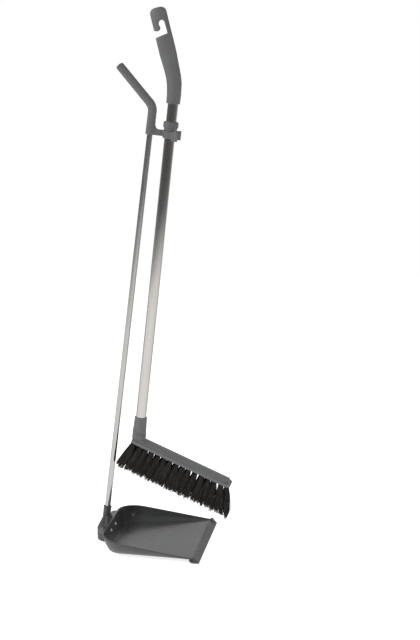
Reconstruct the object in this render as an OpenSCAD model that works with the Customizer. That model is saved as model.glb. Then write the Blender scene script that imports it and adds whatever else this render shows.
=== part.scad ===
// Upright dustpan set: a scoop pan on a thin tube handle, with a broom that hangs in a clip on that handle.
// +X points from the back of the pan to its lip, +Z up. The pan stands on the floor at Z = 0.

/* [Pan] */
// Width of the pan across its rim
pan_w = 242; // [210:1:290]
// Depth of the pan from its back rim to its front edge
pan_depth = 200; // [160:1:250]
// Height of the back rim above the floor
pan_back_h = 39; // [33:0.5:50]
// Height of the side walls where they end at the front
pan_front_h = 9.8; // [9.6:0.2:16]
// Thickness of the moulded pan
pan_wall = 2.6; // [1.8:0.1:3.4]
// Radius of the rim's rear corners in plan
pan_corner_r = 49; // [40:1:60]
// How far the foot of the back wall stands ahead of its rim
back_lean = 10; // [6:0.5:16]
// How much the straight back wall narrows from its rim to its foot, on each side
back_taper = 10; // [6:1:20]
// Distance from the rim in to the foot of the side wall, where the rear corners end
side_run_back = 25; // [18:1:34]
// Distance from the rim in to the foot of the side wall, at the front edge
side_run_front = 3.5; // [3:0.5:10]
// How much the floor rises from the foot of the back wall to the front edge
floor_rise = 6; // [4:0.2:6.4]
// Half the turn of the side walls' arc from their foot to the rim, in degrees
wall_bow = 25; // [10:1:30]
// Width of the rim flange
rim_w = 3.4; // [2.8:0.1:5]
// Thickness of the rim flange
rim_t = 2.4; // [1.6:0.1:3]

/* [Lip strip] */
// How far the soft lip stands out beyond the rim at each end
lip_overhang = 0.6; // [0.2:0.1:4]
// Depth of the lip ahead of the pan's front edge
lip_depth = 14.2; // [10:0.2:26]
// Depth of the flap that lies on the pan's floor
lip_lap = 2.6; // [2:0.2:6]
// Thickness of the flap
lip_lap_t = 1.4; // [0.8:0.1:2]
// Depth of the jaw under the pan's front edge
lip_jaw = 7.4; // [4:0.2:10]
// Thickness of the sweeping edge
lip_edge_t = 1.4; // [1:0.1:2.4]
// Height of the cheeks at the two ends
cheek_h = 12.6; // [11:0.2:16]
// Width of the cheeks
cheek_w = 11; // [6:0.5:16]

/* [Handle bracket] */
// Gap between the rivets' washers and the round wall of the bracket
bell_gap = 2.7; // [2:0.1:6]
// Height of the upright side of the bracket
bracket_side_h = 25; // [22:0.5:28]
// Height where its shoulder ends
bracket_top_h = 53; // [48:0.5:58]
// Radius where its shoulder ends
bracket_top_r = 17; // [14:0.5:20]
// Wall of the bracket
bracket_wall = 2.8; // [2:0.1:3.4]
// Width across the bracket's ledge
ledge_w = 152; // [120:1:180]
// Depth of the ledge behind the back rim
ledge_depth = 16; // [10:0.5:22]
// Thickness of the ledge
ledge_t = 2.4; // [1.6:0.1:3]
// Outer diameter of the tube socket
socket_d = 16.6; // [16:0.1:20]
// Length of the socket above the bracket's shoulder, along the tube
socket_neck = 20; // [16:0.5:36]
// Length of the socket below the bracket's shoulder, along the tube
socket_depth = 31; // [26:0.5:38]
// Distance between the two rivets
rivet_span = 41.6; // [36:0.2:44]

/* [Pan handle] */
// Diameter of the pan's tube
pan_tube_d = 12; // [10:0.1:12.6]
// Wall of the pan's tube
pan_tube_wall = 1; // [0.6:0.1:1.5]
// Forward lean of the pan's tube, in degrees
handle_lean = 7.1; // [6:0.05:8]
// Distance behind the back rim where the line of the tube meets the floor
handle_foot = 17.4; // [14:0.1:19]
// Height of the lower end of the moulded handle top, along the tube
sleeve_from = 889; // [700:1:900]
// Length of its straight sleeve
sleeve_len = 46; // [42:1:60]
// Diameter of the sleeve at its lower end
sleeve_d = 18.8; // [18.4:0.1:20]
// Diameter at the bend
bend_d = 18.4; // [16:0.1:18.6]
// Diameter at the end of the grip
grip_end_d = 17.4; // [14:0.1:17.8]
// Radius of the bend
bend_r = 26; // [20:1:40]
// Angle of the bend, in degrees
bend_angle = 47; // [30:1:60]
// Length of the straight grip
grip_len = 98; // [80:1:130]

/* [Clip] */
// Height of the clip ring
clip_h = 15.5; // [12:0.5:20]
// Wall of the clip ring
clip_wall = 3.8; // [3:0.1:5]
// Length of the clip's straight arms ahead of the broom's axis
clip_reach = 8; // [5:0.5:11]
// Length of the flared lips
flare_len = 14; // [10:0.5:20]
// Thickness of the flared lips
flare_t = 2.6; // [2:0.1:3.4]
// Height of the flared lips
flare_h = 19; // [16:0.5:24]
// Angle that the lips open to each side, in degrees
flare_angle = 34; // [18:1:50]
// Thickness of the arm between the sleeve and the clip
arm_t = 10; // [8:0.5:14]
// Height of the arm
arm_h = 12; // [9:0.5:14]
// Radius of the fillet between arm and sleeve
arm_fillet = 8; // [4:0.5:9]
// Height of the stop collar below its cone
collar_h = 17; // [12:0.5:22]
// Height of the collar's narrow neck, where it stands on the clip
collar_neck_h = 6.5; // [3:0.5:9]
// Wall of the collar's neck
collar_neck_wall = 2.6; // [1.8:0.1:2.6]
// Height of the cone on top of the stop collar
collar_cone_h = 2; // [1:0.5:6]
// Wall of the stop collar
collar_wall = 4.6; // [2.6:0.1:5]

/* [Broom tube] */
// Diameter of the broom's tube
broom_tube_d = 22; // [20:0.1:24]
// Wall of the broom's tube
broom_tube_wall = 0.9; // [0.6:0.1:1.5]
// Forward lean of the broom, in degrees
broom_lean = 6.3; // [5.6:0.05:6.8]
// Distance ahead of the back rim where the line of the broom's tube meets the floor
broom_foot = 37.3; // [34:0.1:44]

/* [Hook grip] */
// Length of bare tube between the clip and the hook grip
hook_rise = 56.1; // [44:0.1:90]
// Length of its straight sleeve below the bend
hook_sleeve = 19; // [12:1:30]
// Radius of its bend
hook_bend_r = 130; // [110:1:160]
// Angle of its bend, in degrees
hook_bend = 20; // [12:0.5:26]
// Length of its straight upper part
hook_len = 132; // [120:1:160]
// Width of the grip, seen from the side
hook_w = 35.6; // [32:0.2:40]
// Thickness of the grip
hook_t = 26.5; // [26:0.5:32]
// Width of the hang-up slot
slot_w = 16; // [13:0.5:16.5]
// How far the slot's round end stands ahead of the middle of the grip
slot_shift = 1.6; // [0.6:0.2:2]
// Distance from the top of the grip to the centre of the slot's round end
slot_drop = 33.5; // [30:0.5:38]
// Length of the slot below its round end
slot_len = 21.5; // [20:0.5:28]
// How far the slot's front wall leans ahead on its way down
slot_belly = 0.6; // [0.2:0.1:1.4]
// Drop of the slot's floor from its front wall to the rear of the grip
slot_fall = 4; // [2:0.5:8]
// Length of the prong below the centre of the slot's round end
prong_len = 12.6; // [10:0.2:14]
// Radius of the prong's tip
prong_r = 6.5; // [5.5:0.1:7]

/* [Brush] */
// Height of the brush's underside on the broom's axis, along the tube
head_height = 220.5; // [212:0.5:240]
// Slope of the brush across the broom's tube, in degrees
head_drop = 17.2; // [14:0.2:20]
// Length of the brush block ahead of the broom's axis
block_front = 219; // [180:1:230]
// Length of the brush block behind the broom's axis
block_rear = 15; // [15:0.5:18]
// Width of the brush block
block_w = 42; // [42:0.5:50]
// Thickness of the brush block
block_t = 7; // [6:0.5:10]
// Radius of the block's corners in plan
block_corner = 12; // [6:0.5:15]
// Height of the arched cover above the block
cover_h = 8; // [6:0.5:11]
// Width of the arched cover
cover_w = 36; // [33:0.5:40]
// How far the block stands out beyond the cover at the front
cover_step = 7.5; // [4:0.5:12]
// Length of the socket from the brush's underside to its mouth, along the broom's tube
head_socket_len = 59; // [46:0.5:80]
// Outer diameter of the socket's mouth
head_socket_d = 26.2; // [26:0.1:28]
// Outer diameter of the socket's foot
head_socket_foot_d = 31; // [28.4:0.1:32]
// Height of the ridges round the socket's foot
ridge_h = 0.7; // [0.4:0.1:1.2]
// Thickness of the ridges
ridge_t = 1.6; // [1:0.1:2.4]
// Distance between the ridges
ridge_pitch = 4.6; // [3.6:0.1:6]

/* [Bristles] */
// Length of the bristles below the block
bristle_len = 63; // [40:1:70]
// Thickness of a strand at its root
strand_d = 1.7; // [1.2:0.1:2]
// Distance between rows of tufts
row_pitch = 7; // [6.6:0.1:7.4]
// Distance between tufts in a row
tuft_pitch = 14.6; // [13:0.2:18]
// Radius of a tuft at its root
tuft_r = 1.7; // [1.4:0.1:2]
// Radius of a tuft at its tip
tuft_tip_r = 3.6; // [2.4:0.1:4]
// Outward lean of the tufts at the rear end, in degrees
fan_rear = 11; // [0:1:11]
// Outward lean of the tufts at the front end, in degrees
fan_front = 26; // [0:1:28]

/* [Fasteners] */
// Diameter of the rivets' shanks
rivet_d = 4.8; // [4:0.1:5.2]
// Diameter of the rivets' heads
rivet_head_d = 9.4; // [8:0.1:10]
// Height of the rivets' heads
rivet_head_h = 2.2; // [1.4:0.1:3]
// Diameter of the washers behind the rivets
washer_d = 10.4; // [9:0.1:11]
// Thickness of the washers
washer_t = 1; // [0.6:0.1:1.4]
// Diameter of the screws' shanks
screw_d = 3.4; // [2.8:0.1:3.8]
// Diameter of the screws' heads
screw_head_d = 6.4; // [5.4:0.1:7]
// Height of the screws' heads
screw_head_h = 1.8; // [1.4:0.1:2.4]
// Depth of the screws' seats in the sleeves
screw_seat = 0.9; // [0.6:0.1:1.2]

/* [Hidden] */
$fn = 64;

// Clearances: a seated piece, a turning or sliding fit, and the gap that a resting piece keeps
seat_fit = 0.05;
running_fit = 0.06;
rest_gap = 0.3;
// Overrun of every cut
over = 1;
charcoal = [0.38, 0.39, 0.40];
dark_rubber = [0.27, 0.28, 0.29];
bright_steel = [0.80, 0.80, 0.79];
bristle_black = [0.13, 0.13, 0.13];

// Widths and heights that follow from the sizes above
floor_back_w = pan_w - 2 * pan_corner_r - 2 * back_taper;
floor_mid_w = pan_w - 2 * side_run_back;
floor_front_w = pan_w - 2 * side_run_front;
lip_w = pan_w + 2 * rim_w + 2 * lip_overhang;
bracket_r = rivet_span / 2 + washer_d / 2 + bracket_wall + bell_gap;
socket_top = bracket_top_h + socket_neck;
socket_foot = bracket_top_h - socket_depth;
head_socket_top = head_height + head_socket_len;

// Frames of the two tubes and of the brush
head_tilt = broom_lean + head_drop;
front_reach = broom_foot + head_height * sin(broom_lean)
    + block_front * cos(head_tilt) + block_t * sin(head_tilt);
frame_x = (bracket_r - front_reach) / 2;

module at_pan() {
    translate([frame_x, 0, 0]) children();
}

module at_handle(along = 0) {
    at_pan() translate([-handle_foot, 0, 0]) rotate([0, handle_lean, 0]) translate([0, 0, along]) children();
}

module at_broom(along = 0) {
    at_pan() translate([broom_foot, 0, 0]) rotate([0, broom_lean, 0]) translate([0, 0, along]) children();
}

module at_head() {
    at_broom(head_height) rotate([0, head_drop, 0]) children();
}

// Small shapes that several pieces share
module tube(d, wall, from, to) {
    translate([0, 0, from]) difference() {
        cylinder(d = d, h = to - from);
        translate([0, 0, -over]) cylinder(d = d - 2 * wall, h = to - from + 2 * over);
    }
}

module round_plan(from, to, w, r) {
    translate([from, r - w / 2]) square([to - from, w - 2 * r]);
    translate([from + r, -w / 2]) square([to - from - 2 * r, w]);
    for (x = [from + r, to - r], side = [-1, 1]) {
        translate([x, side * (w / 2 - r)]) circle(r = r);
    }
}

// A screw on the far side of a round piece, its head's seat at the given distance from the piece's axis
module side_screw(seat, reach) {
    rotate([-90, 0, 0]) {
        translate([0, 0, seat - reach]) cylinder(d = screw_d, h = reach);
        translate([0, 0, seat]) cylinder(d1 = screw_head_d, d2 = screw_head_d - screw_head_h, h = screw_head_h);
    }
}

module side_screw_hole(seat) {
    rotate([-90, 0, 0]) {
        cylinder(d = screw_d + 2 * seat_fit, h = seat);
        translate([0, 0, seat]) cylinder(d = screw_head_d + 4 * seat_fit, h = screw_head_h + over);
    }
}

// Rings of equal point counts joined into one closed solid, the first and last rings capped by fans
module loft(rings) {
    count = len(rings[0]);
    last = len(rings) - 1;
    points = [for (ring = rings, point = ring) point];
    sides = [
        for (k = [0:last - 1], i = [0:count - 1])
            let (a = k * count + i, b = k * count + (i + 1) % count)
                each [[a, b + count, b], [a, a + count, b + count]]
    ];
    first_cap = [for (i = [1:count - 2]) [0, i, i + 1]];
    last_cap = [for (i = [1:count - 2]) [last * count, last * count + i + 1, last * count + i]];
    polyhedron(points = points, faces = concat(sides, first_cap, last_cap));
}

// Pan: stations run from the end of the straight back round a rear corner and along a side to the front
corner_steps = 8;
side_steps = 6;
wall_steps = 6;
stations = corner_steps + side_steps;
flange_share = 0.92;
slope_step_share = 0.02;

function corner_turn(k) = 90 * min(k, corner_steps) / corner_steps;
function side_share(k) = max(0, k - corner_steps) / side_steps;
function side_x(k) = (pan_depth - pan_corner_r) * side_share(k);
function rim_x(k) = pan_corner_r * (1 - cos(corner_turn(k))) + side_x(k);
function rim_y(k) = pan_w / 2 - pan_corner_r * (1 - sin(corner_turn(k)));
function rim_z(k) = pan_back_h + (pan_front_h - pan_back_h) * rim_x(k) / pan_depth;
function foot_x(k) = back_lean + (pan_corner_r - back_lean) * (1 - cos(corner_turn(k))) + side_x(k);
function foot_y(k) = (floor_back_w + (floor_mid_w - floor_back_w) * sin(corner_turn(k))
    + (floor_front_w - floor_mid_w) * side_share(k)) / 2;
function floor_z(x) = pan_wall + floor_rise * (x - back_lean) / (pan_depth - back_lean);
function out_dir(k) = [-cos(corner_turn(k)), sin(corner_turn(k))];
function wall_run(k) = [rim_x(k) - foot_x(k), rim_y(k) - foot_y(k)];
function wall_rise(k) = rim_z(k) - floor_z(foot_x(k));
// The side walls bow up from the floor as an arc, and the back wall is straight
function chord(k) = atan(wall_rise(k) / norm(wall_run(k)));
function bow(k) = min(wall_bow, chord(k));
function arc_turn(k, p) = chord(k) + (2 * p - 1) * bow(k);
function blend(straight_share, bowed_share, k) =
    straight_share + (bowed_share - straight_share) * sin(corner_turn(k));
function arc_run_share(k, p) = (sin(arc_turn(k, p)) - sin(arc_turn(k, 0))) / (2 * cos(chord(k)) * sin(bow(k)));
function arc_rise_share(k, p) = (cos(arc_turn(k, 0)) - cos(arc_turn(k, p))) / (2 * sin(chord(k)) * sin(bow(k)));
function run_share(k, p) = blend(p, arc_run_share(k, p), k);
function rise_share(k, p) = blend(p, arc_rise_share(k, p), k);
function inner_point(k, p) = [
    foot_x(k) + wall_run(k).x * run_share(k, p),
    foot_y(k) + wall_run(k).y * run_share(k, p),
    floor_z(foot_x(k)) + wall_rise(k) * rise_share(k, p)
];
function wall_slope(k, p) =
    let (low = max(0, p - slope_step_share), high = min(1, p + slope_step_share))
        [
            (run_share(k, high) - run_share(k, low)) * (wall_run(k) * out_dir(k)),
            (rise_share(k, high) - rise_share(k, low)) * wall_rise(k)
        ];
// The outside keeps the wall's thickness, and meets the underside of the floor in a mitre
function outer_point(k, p) =
    let (
        slope = wall_slope(k, p),
        off = pan_wall / (norm(slope) + (p == 0 ? slope.x : 0)),
        inner = inner_point(k, p)
    )
        [
            inner.x + off * slope.y * out_dir(k).x,
            inner.y + off * slope.y * out_dir(k).y,
            inner.z - (p == 0 ? pan_wall : off * slope.x)
        ];
function rim_edge(k, down) = inner_point(k, 1) + [rim_w * out_dir(k).x, rim_w * out_dir(k).y, -down];
// Half a section, from the foot up the inside, over the rim flange and down the outside
function half_section(k) = [
    for (j = [0:wall_steps]) inner_point(k, j / wall_steps),
    rim_edge(k, 0),
    rim_edge(k, rim_t),
    for (j = [wall_steps:-1:0]) outer_point(k, min(flange_share, j / wall_steps))
];
function mirrored(points) = [for (i = [len(points) - 1:-1:0]) [points[i].x, -points[i].y, points[i].z]];

module pan_skin() {
    half = 2 * wall_steps + 4;
    count = 2 * half;
    points = [for (k = [0:stations]) each concat(half_section(k), mirrored(half_section(k)))];
    skin = [
        for (k = [0:stations - 1], i = [0:count - 1])
            let (a = k * count + i, b = k * count + (i + 1) % count)
                each [[a, b, b + count], [a, b + count, a + count]]
    ];
    // The straight back wall closes the first section from side to side
    back = [
        for (i = [0:half - 2])
            each [[i, count - 2 - i, i + 1], [i, count - 1 - i, count - 2 - i]]
    ];
    // The front edge closes the last section between its inside and its outside
    front_from = stations * count;
    front = [
        for (i = [0:wall_steps], side = [0, half])
            let (a = front_from + side + i, b = front_from + side + half - 1 - i)
                each [[a, a + 1, b - 1], [a, b - 1, b]]
    ];
    floor_edge = [
        [front_from, front_from + half - 1, front_from + half],
        [front_from, front_from + half, front_from + count - 1]
    ];
    polyhedron(points = points, faces = concat(skin, back, front, floor_edge));
}

// A frame on the inside of the back wall, its Z axis square to the wall
back_tilt = atan(back_lean / (pan_back_h - pan_wall));
rivet_height_share = 0.57;
// Height where the underside of the rim flange meets the back wall
rim_root_z = pan_back_h - (1 - flange_share) * (pan_back_h - pan_wall) - pan_wall * sin(back_tilt);
module at_back(y = 0, height_share = rivet_height_share) {
    translate([back_lean * (1 - height_share), y, pan_wall + (pan_back_h - pan_wall) * height_share])
        rotate([0, 90 - back_tilt, 0]) children();
}

module pan_shell() {
    color(charcoal) at_pan() difference() {
        pan_skin();
        for (side = [-1, 1]) {
            at_back(side * rivet_span / 2) translate([0, 0, -pan_wall - over])
                cylinder(d = rivet_d + 2 * seat_fit, h = pan_wall + 2 * over);
        }
    }
}

// Soft lip: a ramp ahead of the pan's front edge, which it grips between a flap and a jaw
// A cheek stands at each of its ends
lip_lap_w = floor_front_w - 4 * lip_lap_t;
module lip_strip() {
    nose_from = pan_depth + seat_fit;
    nose_to = pan_depth + lip_depth;
    lap_from = nose_from - lip_lap;
    jaw_from = nose_from - lip_jaw;
    jaw_drop = pan_wall + seat_fit;
    floor_top = floor_z(pan_depth);
    lap_top = floor_top + lip_lap_t;
    color(dark_rubber) at_pan() {
        translate([0, lip_w / 2, 0]) rotate([90, 0, 0]) linear_extrude(lip_w)
            polygon([
                [lap_from, 0], [nose_to, 0], [nose_to, lip_edge_t], [nose_from + lip_lap_t, lap_top],
                [nose_from, lap_top], [nose_from, floor_top - jaw_drop], [jaw_from, floor_z(jaw_from) - jaw_drop]
            ]);
        translate([0, lip_lap_w / 2, 0]) rotate([90, 0, 0]) linear_extrude(lip_lap_w)
            polygon([
                [lap_from, floor_z(lap_from)], [nose_from, floor_z(nose_from)], [nose_from + lip_lap_t, floor_top],
                [nose_from + lip_lap_t, lap_top], [nose_from, lap_top],
                [lap_from, floor_z(lap_from) + lip_lap_t / 2]
            ]);
        for (side = [0, 1]) mirror([0, side, 0])
            translate([0, lip_w / 2, 0]) rotate([90, 0, 0]) linear_extrude(cheek_w)
                polygon([
                    [nose_from, 0], [nose_to, 0], [nose_to, lip_edge_t],
                    [nose_from + lip_depth / 3, cheek_h], [nose_from, cheek_h]
                ]);
    }
}

// Handle bracket: a half-round bell behind the back wall, with a ledge under the rim and a socket for the tube
module bell(inset) {
    rotate_extrude() polygon([
        [0, -over], [bracket_r - inset, -over], [bracket_r - inset, bracket_side_h],
        [bracket_top_r - inset, bracket_top_h - inset], [0, bracket_top_h - inset]
    ]);
}

// Everything behind a plane that lies the given distance behind the inside of the back wall
module behind_back(distance) {
    depth = 4 * bracket_r;
    at_back() translate([0, 0, -distance - depth / 2]) cube([2 * depth, 2 * depth, depth], center = true);
}

module bracket_body() {
    difference() {
        bell(0);
        intersection() {
            bell(bracket_wall);
            behind_back(pan_wall + seat_fit + bracket_wall);
        }
    }
    translate([0, 0, rim_root_z - seat_fit - ledge_t]) linear_extrude(ledge_t)
        round_plan(-ledge_depth, pan_corner_r, ledge_w, ledge_depth / 2);
}

module handle_bracket() {
    bore_r = pan_tube_d / 2 + seat_fit;
    bead_r = bracket_wall / 2;
    rim_clear = rim_w + seat_fit;
    color(charcoal) difference() {
        union() {
            at_pan() intersection() {
                bracket_body();
                behind_back(pan_wall + seat_fit);
            }
            at_handle(socket_foot) cylinder(d = socket_d, h = socket_top - socket_foot);
            at_handle(socket_top - bead_r) rotate_extrude()
                translate([socket_d / 2 - bead_r / 2, 0]) circle(r = bead_r);
        }
        at_handle(socket_foot + bracket_wall) cylinder(r = bore_r, h = socket_top);
        at_handle(bracket_screw_at) side_screw_hole(socket_d / 2 - screw_seat);
        at_pan() translate([-rim_clear, -ledge_w, rim_root_z - seat_fit])
            cube([bracket_r, 2 * ledge_w, pan_back_h - rim_root_z + 2 * seat_fit]);
        at_pan() translate([-2 * bracket_r, -ledge_w, -2 * over]) cube([4 * bracket_r, 2 * ledge_w, 2 * over]);
        for (side = [-1, 1]) {
            at_pan() at_back(side * rivet_span / 2)
                translate([0, 0, -pan_wall - bracket_wall - over])
                    cylinder(d = rivet_d + 2 * seat_fit, h = bracket_wall + 2 * over);
        }
    }
}

module bracket_rivets() {
    grip = pan_wall + seat_fit + bracket_wall + washer_t;
    head_r = (pow(rivet_head_d / 2, 2) + pow(rivet_head_h, 2)) / (2 * rivet_head_h);
    color(bright_steel) at_pan() for (side = [-1, 1]) at_back(side * rivet_span / 2) {
        translate([0, 0, -grip - rivet_head_h]) cylinder(d = rivet_d, h = grip + rivet_head_h);
        intersection() {
            translate([0, 0, rivet_head_h - head_r]) sphere(r = head_r);
            cylinder(d = rivet_head_d, h = rivet_head_h);
        }
        translate([0, 0, -grip - rivet_head_h])
            cylinder(d1 = rivet_d + washer_t, d2 = rivet_d + 2 * washer_t, h = rivet_head_h);
    }
}

module rivet_washers() {
    from = pan_wall + seat_fit + bracket_wall + washer_t;
    color(bright_steel) at_pan() for (side = [-1, 1]) at_back(side * rivet_span / 2)
        translate([0, 0, -from]) difference() {
            cylinder(d = washer_d, h = washer_t);
            translate([0, 0, -over]) cylinder(d = rivet_d + 2 * seat_fit, h = washer_t + 2 * over);
        }
}

// Pan tube, from the foot of its socket to the end of the bore in the handle top
bracket_screw_at = socket_top - socket_d / 2;
handle_screw_at = sleeve_from + sleeve_len / 2;
tube_insert_share = 0.86;
pan_tube_to = sleeve_from + tube_insert_share * sleeve_len;

module pan_tube() {
    color(bright_steel) difference() {
        at_handle() tube(pan_tube_d, pan_tube_wall, socket_foot + bracket_wall + seat_fit, pan_tube_to);
        for (along = [bracket_screw_at, handle_screw_at]) {
            at_handle(along) rotate([-90, 0, 0]) cylinder(d = screw_d + 2 * seat_fit, h = pan_tube_d);
        }
    }
}

module bracket_screw() {
    color(bright_steel) at_handle(bracket_screw_at)
        side_screw(socket_d / 2 - screw_seat, socket_d / 2 - pan_tube_d / 4);
}

module handle_screw() {
    color(bright_steel) at_handle(handle_screw_at) side_screw(handle_seat, handle_seat - pan_tube_d / 4);
}

// Handle top: sleeve, bend and slanted grip on the pan tube, with an arm and a clip for the broom
handle_seat = bend_d / 2 - screw_seat;
clip_r = broom_tube_d / 2 + running_fit + clip_wall;
lean_gap = handle_lean - broom_lean;
axis_offset = (handle_foot + broom_foot) * cos(broom_lean) - sleeve_from * sin(lean_gap);
clip_top = sleeve_from * cos(lean_gap) - (handle_foot + broom_foot) * sin(broom_lean) + arm_h;
clip_mouth = broom_tube_d + 2 * rest_gap;
hook_from = clip_top + hook_rise;
edge_r = grip_end_d / 5;
// The sleeve and the grip run a little way into the bend, which is a little thicker than both
bend_step = bend_d / 60;
bend_lap = bend_r / 14;

module grip_bar() {
    end_r = grip_end_d / 2;
    neck_d = bend_d - 2 * bend_step;
    translate([0, 0, sleeve_from]) cylinder(d1 = sleeve_d, d2 = neck_d, h = sleeve_len + bend_lap);
    translate([-bend_r, 0, sleeve_from + sleeve_len]) rotate([90, 0, 0]) {
        rotate_extrude(angle = bend_angle) translate([bend_r, 0]) circle(d = bend_d);
    }
    translate([-bend_r * (1 - cos(bend_angle)), 0, sleeve_from + sleeve_len + bend_r * sin(bend_angle)])
        rotate([0, -bend_angle, 0]) rotate_extrude() polygon([
            [0, -bend_lap], [neck_d / 2, -bend_lap], [end_r, grip_len - edge_r],
            [end_r - edge_r / 3, grip_len - edge_r / 3], [end_r - edge_r, grip_len], [0, grip_len]
        ]);
}

// The arm and the clip stand square to the broom's tube, the top of the clip level with the top of the arm
module clip_ring_plan() {
    circle(r = clip_r);
    translate([0, -clip_r]) square([clip_reach, 2 * clip_r]);
}

module clip_lips_plan() {
    for (side = [-1, 1]) {
        translate([clip_reach - flare_t / 2, side * (clip_r - flare_t / 2)]) rotate(side * flare_angle) {
            circle(d = flare_t);
            translate([0, -flare_t / 2]) square([flare_len, flare_t]);
            translate([flare_len, 0]) circle(d = flare_t);
        }
    }
}

module handle_top() {
    arm_to = axis_offset - sleeve_d / 2;
    color(charcoal) difference() {
        union() {
            at_handle() grip_bar();
            at_broom(clip_top - clip_h) linear_extrude(clip_h) clip_ring_plan();
            at_broom(clip_top - flare_h) linear_extrude(flare_h) clip_lips_plan();
            at_broom(clip_top) {
                translate([-axis_offset, -arm_t / 2, -arm_h]) cube([axis_offset, arm_t, arm_h]);
                translate([-arm_to, arm_t / 2, 0]) rotate([90, 0, 0]) linear_extrude(arm_t) difference() {
                    translate([-sleeve_d / 4, 0]) square([arm_fillet + sleeve_d / 4, arm_fillet]);
                    translate([arm_fillet, arm_fillet]) circle(r = arm_fillet);
                }
            }
        }
        at_handle(sleeve_from - over)
            cylinder(d = pan_tube_d + 2 * seat_fit, h = pan_tube_to - sleeve_from + over + seat_fit);
        at_handle(handle_screw_at) side_screw_hole(handle_seat);
        at_broom(clip_top - clip_h - flare_h) {
            cylinder(r = broom_tube_d / 2 + running_fit, h = clip_h + 2 * flare_h);
            translate([0, -clip_mouth / 2, 0]) cube([clip_r + flare_len, clip_mouth, clip_h + 2 * flare_h]);
        }
    }
}

// Stop collar: the ring on the broom's tube that rests on the clip
module stop_collar() {
    bore_r = broom_tube_d / 2 + running_fit;
    color(charcoal) at_broom(clip_top + rest_gap) rotate_extrude() polygon([
        [bore_r, 0], [bore_r + collar_neck_wall, 0], [bore_r + collar_neck_wall, collar_neck_h],
        [bore_r + collar_wall, collar_neck_h], [bore_r + collar_wall, collar_h],
        [bore_r + collar_wall / 3, collar_h + collar_cone_h], [bore_r, collar_h + collar_cone_h]
    ]);
}

// Broom tube, from inside the brush's socket to inside the hook grip
broom_tube_from = head_height + block_t + 2 * cover_h;
broom_tube_to = hook_from + hook_sleeve + hook_bend_r * sin(hook_bend / 2);
socket_screw_at = (broom_tube_from + head_socket_top) / 2;
grip_screw_at = hook_from + hook_sleeve;

module broom_tube() {
    color(bright_steel) at_broom() difference() {
        tube(broom_tube_d, broom_tube_wall, broom_tube_from, broom_tube_to);
        for (along = [socket_screw_at, grip_screw_at]) {
            translate([0, 0, along]) rotate([-90, 0, 0]) cylinder(d = screw_d + 2 * seat_fit, h = broom_tube_d);
        }
    }
}

// Hook grip: an oval bar along a bent path, with a hang-up slot that opens to the rear
hook_sides = 20;
hook_top_steps = 5;
hook_bend_len = hook_bend_r * hook_bend * PI / 180;
hook_total = hook_sleeve + hook_bend_len + hook_len;
hook_dome = hook_w / 3;
// Places along the grip, with its width and its thickness there, as shares of the full sizes
hook_shares = [
    [0, 0.80, 1.06], [0.09, 0.83, 1.06], [0.2, 0.87, 1.05], [0.27, 0.88, 1.03], [0.34, 0.9, 1.01],
    [0.42, 0.94, 1], [0.52, 1, 0.96], [0.65, 1, 0.9], [0.8, 0.98, 0.84]
];

function hook_place(run) =
    let (turn = max(0, min(hook_bend, (run - hook_sleeve) / hook_bend_r * 180 / PI)),
        past = max(0, run - hook_sleeve - hook_bend_len))
        [
            -hook_bend_r * (1 - cos(turn)) - past * sin(turn),
            min(run, hook_sleeve) + hook_bend_r * sin(turn) + past * cos(turn),
            turn
        ];
function hook_ring(run, w, t) =
    let (place = hook_place(run))
        [
            for (i = [0:hook_sides - 1])
                let (a = 360 * i / hook_sides, q = w / 2 * cos(a))
                    [place.x + q * cos(place.z), t / 2 * sin(a), place.y + q * sin(place.z)]
        ];
function dome_ring(step) =
    let (a = 90 * step / hook_top_steps, inset = hook_dome * (1 - cos(a)))
        hook_ring(
            hook_total - hook_dome * (1 - sin(a)),
            hook_w * hook_shares[8][1] - 2 * inset,
            hook_t * hook_shares[8][2] - 2 * inset * hook_t / hook_w
        );

module at_slot() {
    place = hook_place(hook_total - slot_drop);
    translate([place.x, 0, place.y]) rotate([0, -hook_bend, 0]) rotate([90, 0, 0]) children();
}

// The slot runs down from its round end and out to the rear, past the round tip of the prong
module hook_slot() {
    round_r = slot_w / 2;
    front_x = slot_shift + round_r;
    rear_x = slot_shift - round_r;
    tip_y = prong_r - prong_len;
    translate([0, 0, -hook_t]) linear_extrude(2 * hook_t) {
        translate([slot_shift, 0]) circle(r = round_r);
        difference() {
            polygon([
                [front_x, 0], [front_x + slot_belly, -slot_len], [-hook_w / 2, -slot_len - slot_fall],
                [-hook_w, -slot_len - 2 * slot_fall], [-hook_w, tip_y], [rear_x, tip_y], [rear_x, 0]
            ]);
            translate([prong_r - hook_w / 2, tip_y]) circle(r = prong_r);
        }
    }
}

module hook_grip() {
    rings = concat(
        [for (s = hook_shares) hook_ring(s[0] * hook_total, s[1] * hook_w, s[2] * hook_t)],
        [for (step = [0:hook_top_steps]) dome_ring(step)]
    );
    seat = hook_t / 2 - screw_seat;
    color(charcoal) at_broom(hook_from) difference() {
        loft(rings);
        at_slot() hook_slot();
        translate([0, 0, -over])
            cylinder(d = broom_tube_d + 2 * seat_fit, h = broom_tube_to - hook_from + over + seat_fit);
        translate([0, 0, grip_screw_at - hook_from]) side_screw_hole(seat);
    }
}

module grip_screw() {
    seat = hook_t / 2 - screw_seat;
    color(bright_steel) at_broom(grip_screw_at) side_screw(seat, seat - broom_tube_d / 4);
}

// Brush cover: an arched back with the tapered socket for the broom's tube, which two ridges ring at its foot
socket_seat = (head_socket_d + head_socket_foot_d) / 4 - screw_seat;
module head_socket(wider) {
    at_broom(head_height)
        cylinder(d1 = head_socket_foot_d + 2 * wider, d2 = head_socket_d + 2 * wider, h = head_socket_len);
}

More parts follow.
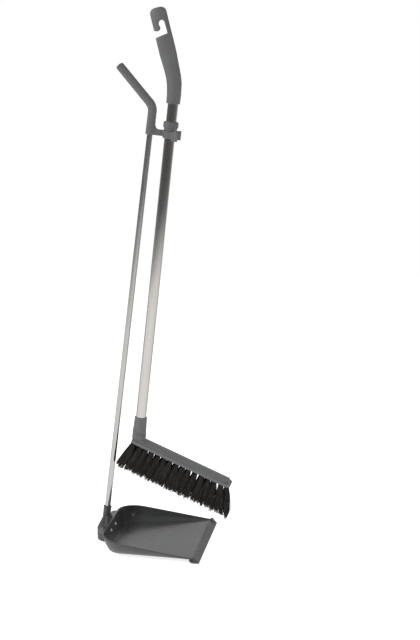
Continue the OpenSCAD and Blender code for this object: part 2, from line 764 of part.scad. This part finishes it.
module brush_cover() {
    arch_r = (pow(cover_w / 2, 2) + pow(cover_h, 2)) / (2 * cover_h);
    color(charcoal) difference() {
        union() {
            at_head() translate([0, 0, block_t + seat_fit]) intersection() {
                translate([-block_rear, 0, cover_h - arch_r]) rotate([0, 90, 0])
                    cylinder(r = arch_r, h = block_front + block_rear);
                linear_extrude(cover_h) round_plan(-block_rear, block_front - cover_step, cover_w, block_corner);
            }
            difference() {
                head_socket(0);
                at_head() translate([0, 0, block_t + seat_fit - block_w]) cube(2 * block_w, center = true);
            }
            for (ring = [1, 2]) intersection() {
                head_socket(ridge_h);
                at_head() translate([-block_w, -block_w, block_t + cover_h + ring * ridge_pitch])
                    cube([2 * block_w, 2 * block_w, ridge_t]);
            }
        }
        at_broom(broom_tube_from) cylinder(d = broom_tube_d + 2 * seat_fit, h = head_socket_top);
        at_broom(socket_screw_at) side_screw_hole(socket_seat);
    }
}

module socket_screw() {
    color(bright_steel) at_broom(socket_screw_at) side_screw(socket_seat, socket_seat - broom_tube_d / 4);
}

// Brush block: the board under the cover, with a recess for the backing of the tufts
slice_t = block_t / 3;
rows = 5;
recess_w = rows * row_pitch + 2 * seat_fit;
recess_inset = (block_w - recess_w) / 2;

module brush_block() {
    color(charcoal) at_head() difference() {
        linear_extrude(block_t) round_plan(-block_rear, block_front, block_w, block_corner);
        translate([recess_inset - block_rear, -recess_w / 2, -over])
            cube([block_front + block_rear - 2 * recess_inset, recess_w, slice_t + seat_fit + over]);
    }
}

// Bristles: tufts of tapered strands that fan out towards the two ends and the two sides
strands = 6;
strand_sides = 3;
spread_share = 1.5;
strand_tip_share = 0.55;
slice_from = recess_inset + seat_fit - block_rear;
slice_to = block_front - recess_inset - seat_fit;
tuft_margin = tuft_r + strand_d;

row_start = slice_from + tuft_margin;
row_count = floor((slice_to - tuft_margin - row_start) / tuft_pitch);
function row_y(row) = (row - (rows + 1) / 2) * row_pitch;
function fan(x) =
    let (share = (2 * x - slice_from - slice_to) / (slice_to - slice_from))
        share * abs(share) * (share < 0 ? fan_rear : fan_front);
function strand_ring(x, y, z, d) = [
    for (i = [0:strand_sides - 1])
        let (a = 360 * i / strand_sides) [x + d / 2 * cos(a), y + d / 2 * sin(a), z]
];
function strand_points(x, row, turn) = concat(
    strand_ring(x + tuft_tip_r * cos(turn) + bristle_len * tan(fan(x)),
        row_y(row) * spread_share + tuft_tip_r * sin(turn), -bristle_len, strand_d * strand_tip_share),
    strand_ring(x + tuft_r * cos(turn), row_y(row) + tuft_r * sin(turn), slice_t / 2, strand_d)
);
strand_faces = [[0, 1, 2], [3, 5, 4], [0, 4, 1], [0, 3, 4], [1, 5, 2], [1, 4, 5], [2, 3, 0], [2, 5, 3]];

module tuft_row(row) {
    half_pitch = row_pitch / 2 - seat_fit;
    all_points = [
        for (j = [0:row_count], s = [0:strands - 1])
            each strand_points(row_start + j * tuft_pitch, row, 360 * s / strands)
    ];
    all_faces = [
        for (n = [0:(row_count + 1) * strands - 1], face = strand_faces)
            [for (i = face) i + 2 * strand_sides * n]
    ];
    color(bristle_black) at_head() union() {
        polyhedron(points = all_points, faces = all_faces);
        translate([slice_from, row_y(row) - half_pitch, 0]) cube([slice_to - slice_from, 2 * half_pitch, slice_t]);
    }
}

pan_shell();
lip_strip();
handle_bracket();
bracket_rivets();
rivet_washers();
pan_tube();
bracket_screw();
handle_top();
handle_screw();
stop_collar();
broom_tube();
hook_grip();
grip_screw();
brush_cover();
socket_screw();
brush_block();
tuft_row(1);  // tuft_row_1
tuft_row(2);  // tuft_row_2
tuft_row(3);  // tuft_row_3
tuft_row(4);  // tuft_row_4
tuft_row(5);  // tuft_row_5
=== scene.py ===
import math
import random

import bmesh
import bpy
from mathutils import Matrix, Vector
from mathutils.bvhtree import BVHTree


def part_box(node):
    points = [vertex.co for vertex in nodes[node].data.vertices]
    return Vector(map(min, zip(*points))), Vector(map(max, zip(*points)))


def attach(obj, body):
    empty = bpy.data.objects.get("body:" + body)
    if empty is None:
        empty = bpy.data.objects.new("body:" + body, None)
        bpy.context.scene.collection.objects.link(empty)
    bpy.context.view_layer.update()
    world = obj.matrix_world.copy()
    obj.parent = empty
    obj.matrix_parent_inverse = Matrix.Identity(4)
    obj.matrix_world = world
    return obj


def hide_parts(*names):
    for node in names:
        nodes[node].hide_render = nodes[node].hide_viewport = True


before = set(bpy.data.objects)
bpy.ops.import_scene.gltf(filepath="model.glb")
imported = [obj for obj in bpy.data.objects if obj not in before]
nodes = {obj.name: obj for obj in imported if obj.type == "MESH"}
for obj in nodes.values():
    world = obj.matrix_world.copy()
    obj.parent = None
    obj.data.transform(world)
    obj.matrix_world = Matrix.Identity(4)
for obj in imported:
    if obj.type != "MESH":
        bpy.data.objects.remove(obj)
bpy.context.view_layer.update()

# Sizes of the dustpan set, in metres and degrees, as its source has them
FRAME_X = -0.11681
BROOM_FOOT, BROOM_LEAN = 0.0373, 6.3
HANDLE_FOOT, HANDLE_LEAN = 0.0174, 7.1
HEAD_HEIGHT, HEAD_DROP = 0.2205, 17.2
BLOCK_FRONT, BLOCK_REAR, BLOCK_W, BLOCK_T = 0.219, 0.015, 0.042, 0.007
ROWS, ROW_PITCH, TUFT_PITCH, TUFT_MARGIN = 5, 0.007, 0.0146, 0.0034
BRISTLE_LEN, FAN_FRONT = 0.063, 26.0
# At the rear the fine bristles lean by rows, unlike the strands of the source: the outer rows lean less, to clear
# the pan's tube as the broom turns, and the middle row leans more, by FAN_MIDDLE
FAN_REAR, FAN_MIDDLE = 8.0, 7.0


def turned(x, lean):
    return Matrix.Translation((x, 0, 0)) @ Matrix.Rotation(math.radians(lean), 4, "Y")


BROOM = turned(FRAME_X + BROOM_FOOT, BROOM_LEAN)
HEAD = BROOM @ Matrix.Translation((0, 0, HEAD_HEIGHT)) @ turned(0, HEAD_DROP)


# Materials

def new_finish(name):
    finish = bpy.data.materials.new(name)
    finish.use_nodes = True
    tree = finish.node_tree
    return finish, tree, tree.nodes["Principled BSDF"]


def add(tree, kind, **values):
    node = tree.nodes.new(kind)
    for key, value in values.items():
        setattr(node, key, value)
    return node


def object_place(tree, scale=(1, 1, 1), turn=(0, 0, 0), foot=(0, 0, 0)):
    """Object coordinates as seen from a turned frame that stands at its foot, then stretched."""
    coords = add(tree, "ShaderNodeTexCoord")
    mapping = add(tree, "ShaderNodeMapping", vector_type="TEXTURE")
    mapping.inputs["Rotation"].default_value = [math.radians(a) for a in turn]
    mapping.inputs["Location"].default_value = foot
    mapping.inputs["Scale"].default_value = [1 / s for s in scale]
    tree.links.new(coords.outputs["Object"], mapping.inputs["Vector"])
    return mapping.outputs["Vector"]


def noise(tree, place, scale, detail=4.0, roughness=0.55):
    node = add(tree, "ShaderNodeTexNoise")
    node.inputs["Scale"].default_value = scale
    node.inputs["Detail"].default_value = detail
    node.inputs["Roughness"].default_value = roughness
    tree.links.new(place, node.inputs["Vector"])
    return node.outputs["Fac"]


def spread(tree, value, low, high, to_low, to_high):
    node = add(tree, "ShaderNodeMapRange")
    node.inputs["From Min"].default_value = low
    node.inputs["From Max"].default_value = high
    node.inputs["To Min"].default_value = to_low
    node.inputs["To Max"].default_value = to_high
    tree.links.new(value, node.inputs["Value"])
    return node.outputs["Result"]


def tones(tree, value, stops):
    ramp = add(tree, "ShaderNodeValToRGB")
    for element, (place, colour) in zip(ramp.color_ramp.elements, (stops[0], stops[-1])):
        element.position, element.color = place, (*colour, 1)
    for place, colour in stops[1:-1]:
        ramp.color_ramp.elements.new(place).color = (*colour, 1)
    tree.links.new(value, ramp.inputs["Fac"])
    return ramp.outputs["Color"]


def mixed(tree, factor, first, second):
    node = add(tree, "ShaderNodeMix", data_type="RGBA")
    tree.links.new(factor, node.inputs["Factor"])
    tree.links.new(first, node.inputs[6])
    if isinstance(second, tuple):
        node.inputs[7].default_value = (*second, 1)
    else:
        tree.links.new(second, node.inputs[7])
    return node.outputs[2]


def relief(tree, shader, height, strength, distance):
    bump = add(tree, "ShaderNodeBump")
    bump.inputs["Strength"].default_value = strength
    bump.inputs["Distance"].default_value = distance
    tree.links.new(height, bump.inputs["Height"])
    tree.links.new(bump.outputs["Normal"], shader.inputs["Normal"])


def moulded_plastic(name, tone, rough, scuff, shine=0.5):
    """Charcoal moulded plastic: fine spark-eroded grain, slow tone drift and faint rubbed scuffs."""
    finish, tree, shader = new_finish(name)
    place = object_place(tree)
    drift = noise(tree, place, 16.0, 5.0)
    dark = tuple(c * 0.9 for c in tone)
    light = tuple(c * 1.1 for c in tone)
    colour = tones(tree, drift, [(0.3, dark), (0.5, tone), (0.72, light)])
    streaks = noise(tree, object_place(tree, scale=(30, 190, 50), turn=(0, 24, 18)), 1.0, 4.0)
    rubbed = spread(tree, streaks, 0.6, 0.8, 0.0, scuff)
    colour = mixed(tree, rubbed, colour, tuple(min(1, c * 1.5 + 0.015) for c in tone))
    tree.links.new(colour, shader.inputs["Base Color"])
    tree.links.new(spread(tree, noise(tree, place, 70.0), 0.3, 0.7, *rough), shader.inputs["Roughness"])
    relief(tree, shader, noise(tree, place, 480.0, 2.0), 0.035, 0.0003)
    shader.inputs["IOR"].default_value = 1.5
    shader.inputs["Specular IOR Level"].default_value = shine
    return finish


def lip_rubber():
    finish, tree, shader = new_finish("lip_rubber")
    place = object_place(tree)
    mottle = noise(tree, place, 90.0, 6.0)
    colour = tones(tree, mottle, [(0.3, (0.104, 0.106, 0.106)), (0.7, (0.132, 0.134, 0.134))])
    smears = noise(tree, object_place(tree, scale=(300, 30, 300)), 1.0, 5.0)
    dust = spread(tree, smears, 0.5, 0.8, 0.0, 0.25)
    colour = mixed(tree, dust, colour, (0.165, 0.162, 0.157))
    tree.links.new(colour, shader.inputs["Base Color"])
    tree.links.new(spread(tree, noise(tree, place, 200.0), 0.3, 0.7, 0.42, 0.58), shader.inputs["Roughness"])
    relief(tree, shader, noise(tree, object_place(tree, scale=(900, 60, 900)), 1.0, 3.0), 0.2, 0.0004)
    return finish


def drawn_tube(name, lean, foot, tone, rough):
    """Bright drawn metal: fine lines along the tube, with faint handling marks."""
    finish, tree, shader = new_finish(name)
    along = object_place(tree, scale=(700, 700, 5), turn=(0, lean, 0), foot=(foot, 0, 0))
    lines = noise(tree, along, 1.0, 3.0)
    colour = tones(tree, lines, [(0.3, tuple(c * 0.9 for c in tone)), (0.7, tone)])
    tree.links.new(colour, shader.inputs["Base Color"])
    smears = noise(tree, object_place(tree, scale=(30, 30, 9)), 1.0, 4.0)
    tree.links.new(spread(tree, smears, 0.35, 0.7, *rough), shader.inputs["Roughness"])
    relief(tree, shader, lines, 0.03, 0.0002)
    shader.inputs["Metallic"].default_value = 1.0
    return finish


def turned_steel(name, tone):
    finish, tree, shader = new_finish(name)
    place = object_place(tree)
    colour = tones(tree, noise(tree, place, 400.0), [(0.3, tuple(c * 0.8 for c in tone)), (0.7, tone)])
    tree.links.new(colour, shader.inputs["Base Color"])
    tree.links.new(spread(tree, noise(tree, place, 900.0), 0.3, 0.7, 0.2, 0.4), shader.inputs["Roughness"])
    shader.inputs["Metallic"].default_value = 1.0
    return finish


def bristle_fibre():
    finish, tree, shader = new_finish("bristle_fibre")
    place = object_place(tree)
    fine = noise(tree, place, 900.0, 2.0)
    colour = tones(tree, fine, [(0.3, (0.009, 0.0076, 0.006)), (0.75, (0.026, 0.0232, 0.0185))])
    along = object_place(tree, scale=(260, 260, 30), turn=(0, BROOM_LEAN + HEAD_DROP, 0))
    clumped = spread(tree, noise(tree, along, 1.0, 2.0), 0.42, 0.66, 0.0, 0.85)
    colour = mixed(tree, clumped, colour, (0.046, 0.0415, 0.034))
    tree.links.new(colour, shader.inputs["Base Color"])
    tree.links.new(spread(tree, noise(tree, place, 300.0), 0.3, 0.7, 0.42, 0.62), shader.inputs["Roughness"])
    return finish


PAN_GREY = (0.066, 0.068, 0.0685)
GRIP_GREY = (0.149, 0.151, 0.154)
HEAD_GREY = (0.168, 0.17, 0.172)
PLATED = (0.58, 0.58, 0.57)
SILVER = (0.64, 0.625, 0.605)
STEEL = (0.7, 0.7, 0.69)
pan_finish = moulded_plastic("pan_plastic", PAN_GREY, (0.19, 0.27), 0.12)
grip_finish = moulded_plastic("grip_plastic", GRIP_GREY, (0.5, 0.62), 0.2, 0.35)
head_finish = moulded_plastic("head_plastic", HEAD_GREY, (0.38, 0.5), 0.2)
rubber_finish = lip_rubber()
pan_tube_finish = drawn_tube("plated_tube", HANDLE_LEAN, FRAME_X - HANDLE_FOOT, PLATED, (0.14, 0.18))
broom_tube_finish = drawn_tube("silver_tube", BROOM_LEAN, FRAME_X + BROOM_FOOT, SILVER, (0.07, 0.12))
steel_finish = turned_steel("fastener_steel", STEEL)
fibre_finish = bristle_fibre()

NODE_FINISH = {
    "pan_shell": pan_finish, "lip_strip": rubber_finish, "handle_bracket": pan_finish,
    "bracket_rivets": steel_finish, "rivet_washers": steel_finish, "pan_tube": pan_tube_finish,
    "bracket_screw": steel_finish, "handle_top": grip_finish, "handle_screw": steel_finish,
    "stop_collar": grip_finish, "broom_tube": broom_tube_finish, "hook_grip": grip_finish,
    "grip_screw": steel_finish, "brush_cover": head_finish, "socket_screw": steel_finish,
    "brush_block": head_finish,
}


def give(piece, finish):
    piece.data.materials.clear()
    piece.data.materials.append(finish)


for node_name, finish in NODE_FINISH.items():
    give(nodes[node_name], finish)


# Pieces

def new_piece(name, shape, finish, body):
    mesh = bpy.data.meshes.new(name)
    shape.to_mesh(mesh)
    shape.free()
    piece = bpy.data.objects.new(name, mesh)
    bpy.context.scene.collection.objects.link(piece)
    give(piece, finish)
    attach(piece, body)
    return piece


# Vertices closer than WELD are one, and faces thinner than SLIVER go
WELD, SLIVER = 0.00001, 0.00006
POCKET_RIM, POCKET_TAPER, POCKET_SIDE = 0.0006, 0.00004, 0.0001
# A vertex that a bevel throws further than this share of its width goes back to the surface
STRAY_SHARE = 0.8


def moulding(node_name, name, finish, body, edge, sharp=38.0, flat=1.0, shortest=1.2, longest=1.0,
             thin=0.0, pocket=0.0):
    """The moulding of a node with its triangles joined and its corners eased, as a mould leaves them.

    Corners sharper than sharp degrees get a bevel of edge metres. Edges outside shortest (in bevels) and
    longest (in metres) and those of faces thinner than thin stay. pocket is the depth of hollow ends.
    """
    shape = bmesh.new()
    shape.from_mesh(nodes[node_name].data)
    bmesh.ops.remove_doubles(shape, verts=shape.verts, dist=WELD)
    bmesh.ops.dissolve_degenerate(shape, dist=SLIVER, edges=shape.edges)
    bmesh.ops.dissolve_limit(shape, angle_limit=math.radians(flat), verts=shape.verts, edges=shape.edges)
    if pocket:
        side = max(abs(v.co.y) for v in shape.verts)
        ends = [f for f in shape.faces if all(abs(v.co.y) > side - POCKET_SIDE for v in f.verts)]
        for rim, depth in ((POCKET_RIM, 0.0), (POCKET_TAPER, -pocket)):
            bmesh.ops.inset_individual(shape, faces=ends, thickness=rim, depth=depth, use_even_offset=True)
    wide = {f for f in shape.faces if f.calc_area() >= thin * f.calc_perimeter()}
    corners = [
        e for e in shape.edges
        if len(e.link_faces) == 2 and e.calc_face_angle(0.0) > math.radians(sharp)
        and shortest * edge < e.calc_length() < longest and all(f in wide for f in e.link_faces)
    ]
    skin = BVHTree.FromBMesh(shape)
    bmesh.ops.bevel(shape, geom=corners, offset=edge, offset_type="OFFSET", segments=2, profile=0.5,
                    affect="EDGES", material=-1)
    for v in shape.verts:
        nearest, _, _, away = skin.find_nearest(v.co)
        if away > edge * STRAY_SHARE:
            v.co = nearest
    bmesh.ops.remove_doubles(shape, verts=shape.verts, dist=WELD)
    bmesh.ops.dissolve_degenerate(shape, dist=WELD, edges=shape.edges)
    bmesh.ops.dissolve_verts(shape, verts=[v for v in shape.verts if len(v.link_edges) == 2])
    piece = new_piece(name, shape, finish, body)
    piece.data.shade_smooth()
    piece.data.set_sharp_from_angle(angle=math.radians(sharp))
    even = piece.modifiers.new("even_shading", "WEIGHTED_NORMAL")
    even.keep_sharp = True
    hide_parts(node_name)
    return piece


moulding("pan_shell", "scoop_pan", pan_finish, "dustpan", 0.0006, 30)
moulding("lip_strip", "sweeping_lip", rubber_finish, "dustpan", 0.0004, pocket=0.003)
moulding("handle_bracket", "handle_bracket_moulding", pan_finish, "dustpan", 0.0006)
moulding("bracket_rivets", "pan_rivets", steel_finish, "dustpan", 0.00015)
moulding("handle_top", "bent_grip", grip_finish, "dustpan", 0.0008, thin=0.00024)
moulding("stop_collar", "stop_ring", grip_finish, "collar", 0.0006)
moulding("hook_grip", "hook_grip_moulding", grip_finish, "broom", 0.0008, 44, 0.15,
         shortest=0.2, longest=0.0034)
moulding("brush_cover", "arched_cover", head_finish, "broom", 0.0006)
moulding("brush_block", "brush_board", head_finish, "broom", 0.0006)


# Screws: each keeps its place and gets an eased head with a cross recess; all four heads face +Y

CROSS_LONG, CROSS_WIDE, CROSS_DEEP, CROSS_TAPER = 0.0018, 0.00048, 0.0008, 0.0001
HEAD_EDGE, HEAD_TOP, CUT_REACH = 0.0005, 0.00002, 0.000001


def cross_screw(node_name, name, body):
    shape = bmesh.new()
    shape.from_mesh(nodes[node_name].data)
    bmesh.ops.remove_doubles(shape, verts=shape.verts, dist=WELD)
    bmesh.ops.dissolve_limit(shape, angle_limit=math.radians(1.0), verts=shape.verts, edges=shape.edges)
    low, high = (Vector(corner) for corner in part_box(node_name))
    middle = (low + high) / 2

    def on_top(face):
        return all(v.co.y > high.y - HEAD_TOP for v in face.verts)

    rim = [e for e in shape.edges if any(on_top(f) for f in e.link_faces)]
    bmesh.ops.bevel(shape, geom=rim, offset=HEAD_EDGE, offset_type="OFFSET", segments=3, profile=0.5,
                    affect="EDGES", material=-1)
    for axis in (Vector((1, 0, 0)), Vector((0, 0, 1))):
        for off in (-CROSS_LONG, -CROSS_WIDE, CROSS_WIDE, CROSS_LONG):
            flat = [f for f in shape.faces if on_top(f)]
            around = [*flat, *{e for f in flat for e in f.edges}, *{v for f in flat for v in f.verts}]
            bmesh.ops.bisect_plane(shape, geom=around, dist=CUT_REACH, plane_co=middle + axis * off,
                                   plane_no=axis)

    def in_cross(face):
        away = face.calc_center_median() - middle
        across, up = abs(away.x), abs(away.z)
        return min(across, up) < CROSS_WIDE and max(across, up) < CROSS_LONG

    recess = [f for f in shape.faces if on_top(f) and in_cross(f)]
    bmesh.ops.inset_region(shape, faces=recess, thickness=CROSS_TAPER, depth=-CROSS_DEEP, use_even_offset=True)
    piece = new_piece(name, shape, steel_finish, body)
    piece.data.shade_smooth()
    piece.data.set_sharp_from_angle(angle=math.radians(40))
    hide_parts(node_name)


cross_screw("bracket_screw", "bracket_cross_screw", "dustpan")
cross_screw("handle_screw", "handle_cross_screw", "dustpan")
cross_screw("grip_screw", "grip_cross_screw", "broom")
cross_screw("socket_screw", "socket_cross_screw", "broom")


# Bristles: each tuft is a bundle of fine filaments that leave one hole and splay towards their tips

def rear_lean(row):
    off_middle = (2 * row - ROWS - 1) / (ROWS - 1)
    return FAN_REAR + FAN_MIDDLE * (1 - off_middle ** 2)


def fan_angle(x, from_x, to_x, rear):
    share = (2 * x - from_x - to_x) / (to_x - from_x)
    return math.radians(share * abs(share) * (rear if share < 0 else FAN_FRONT))


FILAMENT_D, FILAMENT_TIP_SHARE, BEND_POWER = 0.00072, 0.55, 0.85


def grow_filament(shape, root, drift, length):
    """A three-sided filament from its root down to its tip, drawn out step by step."""
    start = bmesh.ops.create_circle(shape, cap_ends=True, segments=3, radius=FILAMENT_D / 2,
                                    matrix=Matrix.Translation(root))
    tip = start["verts"][0].link_faces[0]
    gone = 0.0
    for share in (0.5, 1.0):
        grown = bmesh.ops.extrude_discrete_faces(shape, faces=[tip])
        tip = grown["faces"][0]
        step = drift * (share ** BEND_POWER - gone ** BEND_POWER)
        step.z = -length * (share - gone)
        bmesh.ops.translate(shape, verts=tip.verts, vec=step)
        gone = share
    bmesh.ops.scale(shape, verts=tip.verts, vec=(FILAMENT_TIP_SHARE, FILAMENT_TIP_SHARE, 1),
                    space=Matrix.Translation(-tip.calc_center_median()))
    bmesh.ops.contextual_create(shape, geom=start["verts"])


ROOT_X, ROOT_Y = 0.0036, 0.0028
TIP_SPREAD, CLUMP_LEAN = 1.7, 0.0046
ROW_SKEW, ROW_SPREAD, ROW_CLEAR = 0.17, 0.45, 0.0001
TIP_REACH, TIP_INSET, TIP_RAGGED = 0.0036, 0.0012, 0.003
CLUMPS, CLUMP_STRANDS, CLUMP_R = 17, 6, 0.0011
FRONT_LOOSE, TUFT_STRAY, ROOT_DEEP = 1.5, 0.0012, 0.0004
# Lengths as shares of the full length: a clump's, and what a filament differs from its clump
CLUMP_WORN, STRAND_WORN = (0.925, 0.992), (-0.012, 0.008)
# Turns by the golden angle, in radians, spread points evenly over a round
GOLDEN_TURN = 2.39996
FIRST_SEED = 70


def tuft_mesh(x, y, lean, ends, dice):
    """A tuft: small clumps of filaments that leave one hole, each clump with its own lean and worn length."""
    shape = bmesh.new()
    for clump in range(CLUMPS):
        turn = clump * GOLDEN_TURN
        reach = math.sqrt((clump + 0.5) / CLUMPS)
        out = Vector((math.cos(turn) * ROOT_X, math.sin(turn) * ROOT_Y, 0)) * reach
        loose = 1 + FRONT_LOOSE * max(lean, 0)
        bend = Vector((dice.uniform(-1, 1), dice.uniform(-1, 1), 0)) * CLUMP_LEAN * loose
        drift = out * TIP_SPREAD * loose + bend + Vector((BRISTLE_LEN * math.tan(lean), y * ROW_SPREAD, 0))
        rearmost = ends[0] + dice.uniform(0, 1) * TIP_RAGGED
        foremost = ends[1] - dice.uniform(0, 1) * TIP_RAGGED
        tip_x = min(max(x + out.x + drift.x, rearmost), foremost)
        worn = dice.uniform(*CLUMP_WORN)
        drift.x = (tip_x - x - out.x) * worn
        for strand in range(CLUMP_STRANDS):
            spin = strand * GOLDEN_TURN
            place = Vector((math.cos(spin), math.sin(spin), 0)) * CLUMP_R * math.sqrt(strand / CLUMP_STRANDS)
            root = Vector((x, y, ROOT_DEEP)) + out + place
            length = BRISTLE_LEN * (worn + dice.uniform(*STRAND_WORN))
            grow_filament(shape, root, drift + place * dice.uniform(0.0, 1.2), length)
    mesh = bpy.data.meshes.new("tuft")
    shape.to_mesh(mesh)
    shape.free()
    return mesh


def tuft_row(row):
    dice = random.Random(FIRST_SEED + row)
    inset = (BLOCK_W - ROWS * ROW_PITCH) / 2
    from_x, to_x = inset - BLOCK_REAR, BLOCK_FRONT - inset
    y = (row - (ROWS + 1) / 2) * ROW_PITCH
    shape = bmesh.new()
    slice_t = BLOCK_T / 3
    bmesh.ops.create_cube(shape, size=1, matrix=Matrix.Translation(((from_x + to_x) / 2, y, slice_t / 2))
                          @ Matrix.Diagonal((to_x - from_x, ROW_PITCH - ROW_CLEAR, slice_t, 1)))
    rear = rear_lean(row)
    x = from_x + TUFT_MARGIN
    last = x + math.floor((to_x - TUFT_MARGIN - x) / TUFT_PITCH) * TUFT_PITCH
    ends = [at + BRISTLE_LEN * math.tan(fan_angle(at, from_x, to_x, rear)) + side * (TIP_REACH - TIP_INSET)
            for at, side in ((x, -1), (last, 1))]
    while x <= to_x - TUFT_MARGIN:
        place = x - y * ROW_SKEW + dice.uniform(-1, 1) * TUFT_STRAY
        bundle = tuft_mesh(place, y, fan_angle(x, from_x, to_x, rear), ends, dice)
        shape.from_mesh(bundle)
        bpy.data.meshes.remove(bundle)
        x += TUFT_PITCH
    bmesh.ops.recalc_face_normals(shape, faces=shape.faces)
    bmesh.ops.transform(shape, matrix=HEAD, verts=shape.verts)
    piece = new_piece(f"bristle_row_{row}", shape, fibre_finish, "broom")
    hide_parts(f"tuft_row_{row}")


for row in range(1, ROWS + 1):
    tuft_row(row)


# Stage: pale floor, soft studio light and the photograph's viewpoint

FLOOR_REACH, FLOOR_DROP = 3.3, 0.0004
FLOOR_GLOW, FLOOR_SEEN_GLOW = 0.52, 0.78


def studio_floor():
    shape = bmesh.new()
    bmesh.ops.create_circle(shape, cap_ends=True, segments=96, radius=FLOOR_REACH,
                            matrix=Matrix.Translation((0, 0, -FLOOR_DROP)))
    mesh = bpy.data.meshes.new("studio_floor")
    shape.to_mesh(mesh)
    shape.free()
    floor = bpy.data.objects.new("studio_floor", mesh)
    bpy.context.scene.collection.objects.link(floor)
    finish, tree, seen = new_finish("floor_white")
    lit = add(tree, "ShaderNodeBsdfPrincipled")
    for shader, glow in ((seen, FLOOR_SEEN_GLOW), (lit, FLOOR_GLOW)):
        shader.inputs["Base Color"].default_value = (0.86, 0.86, 0.86, 1)
        shader.inputs["Roughness"].default_value = 0.9
        shader.inputs["Specular IOR Level"].default_value = 0.1
        shader.inputs["Emission Color"].default_value = (1, 1, 1, 1)
        shader.inputs["Emission Strength"].default_value = glow
    path = add(tree, "ShaderNodeLightPath")
    mirrored = add(tree, "ShaderNodeMixShader")
    tree.links.new(path.outputs["Is Glossy Ray"], mirrored.inputs["Fac"])
    tree.links.new(lit.outputs["BSDF"], mirrored.inputs[1])
    tree.links.new(add(tree, "ShaderNodeBsdfTransparent").outputs["BSDF"], mirrored.inputs[2])
    choice = add(tree, "ShaderNodeMixShader")
    tree.links.new(path.outputs["Is Camera Ray"], choice.inputs["Fac"])
    tree.links.new(mirrored.outputs["Shader"], choice.inputs[1])
    tree.links.new(seen.outputs["BSDF"], choice.inputs[2])
    tree.links.new(choice.outputs["Shader"], tree.nodes["Material Output"].inputs["Surface"])
    mesh.materials.append(finish)


def soft_light(name, place, aim, size, power):
    lamp = bpy.data.lights.new(name, "AREA")
    lamp.shape = "RECTANGLE"
    lamp.size, lamp.size_y = size
    lamp.energy = power
    light = bpy.data.objects.new(name, lamp)
    light.location = place
    light.rotation_euler = (Vector(aim) - Vector(place)).to_track_quat("-Z", "Y").to_euler()
    bpy.context.scene.collection.objects.link(light)


ROOM_TONES = [(0.0, (0.095, 0.095, 0.096)), (0.45, (0.15, 0.15, 0.151)), (0.8, (0.32, 0.32, 0.32)),
              (0.95, (0.84, 0.84, 0.84))]
PAPER_TONES = [(0.0, (1.1, 1.085, 1.06)), (0.5, (1.02, 1.01, 0.99)), (0.95, (0.52, 0.52, 0.51))]
PAPER_FROM, PAPER_TO, PAPER_SLANT, PAPER_POWER = -0.136, -0.205, 0.1, 3.0
CEILING_FROM, CEILING_TO, CEILING_SHARE, CEILING_TONE = 0.55, 0.9, 0.8, (0.36, 0.36, 0.36)


def studio_sky():
    """A white backdrop to look at. What the object mirrors is a dim room with a glow behind and paper below."""
    world = bpy.data.worlds.new("studio_sky")
    bpy.context.scene.world = world
    world.use_nodes = True
    tree = world.node_tree
    backdrop = tree.nodes["Background"]
    backdrop.inputs["Color"].default_value = (1, 1, 1, 1)
    room = add(tree, "ShaderNodeBackground")
    coords = add(tree, "ShaderNodeTexCoord")
    split = add(tree, "ShaderNodeSeparateXYZ")
    tree.links.new(coords.outputs["Generated"], split.inputs["Vector"])
    behind = spread(tree, split.outputs["Y"], -1.0, 1.0, 0.0, 1.0)
    shade = tones(tree, behind, ROOM_TONES)
    slant = add(tree, "ShaderNodeMath", operation="MULTIPLY_ADD")
    slant.inputs[1].default_value = PAPER_SLANT
    tree.links.new(split.outputs["X"], slant.inputs[0])
    tree.links.new(split.outputs["Z"], slant.inputs[2])
    paper = add(tree, "ShaderNodeMath", operation="POWER")
    paper.inputs[1].default_value = PAPER_POWER
    below = spread(tree, slant.outputs["Value"], PAPER_FROM, PAPER_TO, 0.0, 1.0)
    tree.links.new(below, paper.inputs[0])
    shade = mixed(tree, paper.outputs["Value"], shade, tones(tree, behind, PAPER_TONES))
    above = spread(tree, split.outputs["Z"], CEILING_FROM, CEILING_TO, 0.0, CEILING_SHARE)
    shade = mixed(tree, above, shade, CEILING_TONE)
    tree.links.new(shade, room.inputs["Color"])
    path = add(tree, "ShaderNodeLightPath")
    choice = add(tree, "ShaderNodeMixShader")
    tree.links.new(path.outputs["Is Camera Ray"], choice.inputs["Fac"])
    tree.links.new(room.outputs["Background"], choice.inputs[1])
    tree.links.new(backdrop.outputs["Background"], choice.inputs[2])
    tree.links.new(choice.outputs["Shader"], tree.nodes["World Output"].inputs["Surface"])


studio_floor()
studio_sky()
soft_light("key_light", (-2.9, -1.2, 2.9), (0, 0, 0.4), (2.0, 2.0), 84)
soft_light("fill_light", (2.6, -1.8, 2.4), (0, 0, 0.5), (1.4, 1.6), 34)

# The camera as fitted to the photograph: focal length and height in pixels, then where it stands and looks
FOCAL_PX, PHOTO_PX, SENSOR = 1450.0, 640.0, 36.0
VIEW_FROM, VIEW_DROP, VIEW_TURN = (0.56804, -2.94257, 1.13292), 12.081, 9.015

view = bpy.data.cameras.new("photo_view")
view.sensor_fit = "VERTICAL"
view.sensor_height = SENSOR
view.lens = FOCAL_PX * SENSOR / PHOTO_PX
view.clip_end = 50.0
camera = bpy.data.objects.new("photo_view", view)
camera.location = VIEW_FROM
camera.rotation_euler = (math.radians(90 - VIEW_DROP), 0, math.radians(VIEW_TURN))
bpy.context.scene.collection.objects.link(camera)
bpy.context.scene.camera = camera
bpy.context.scene.view_settings.view_transform = "Standard"
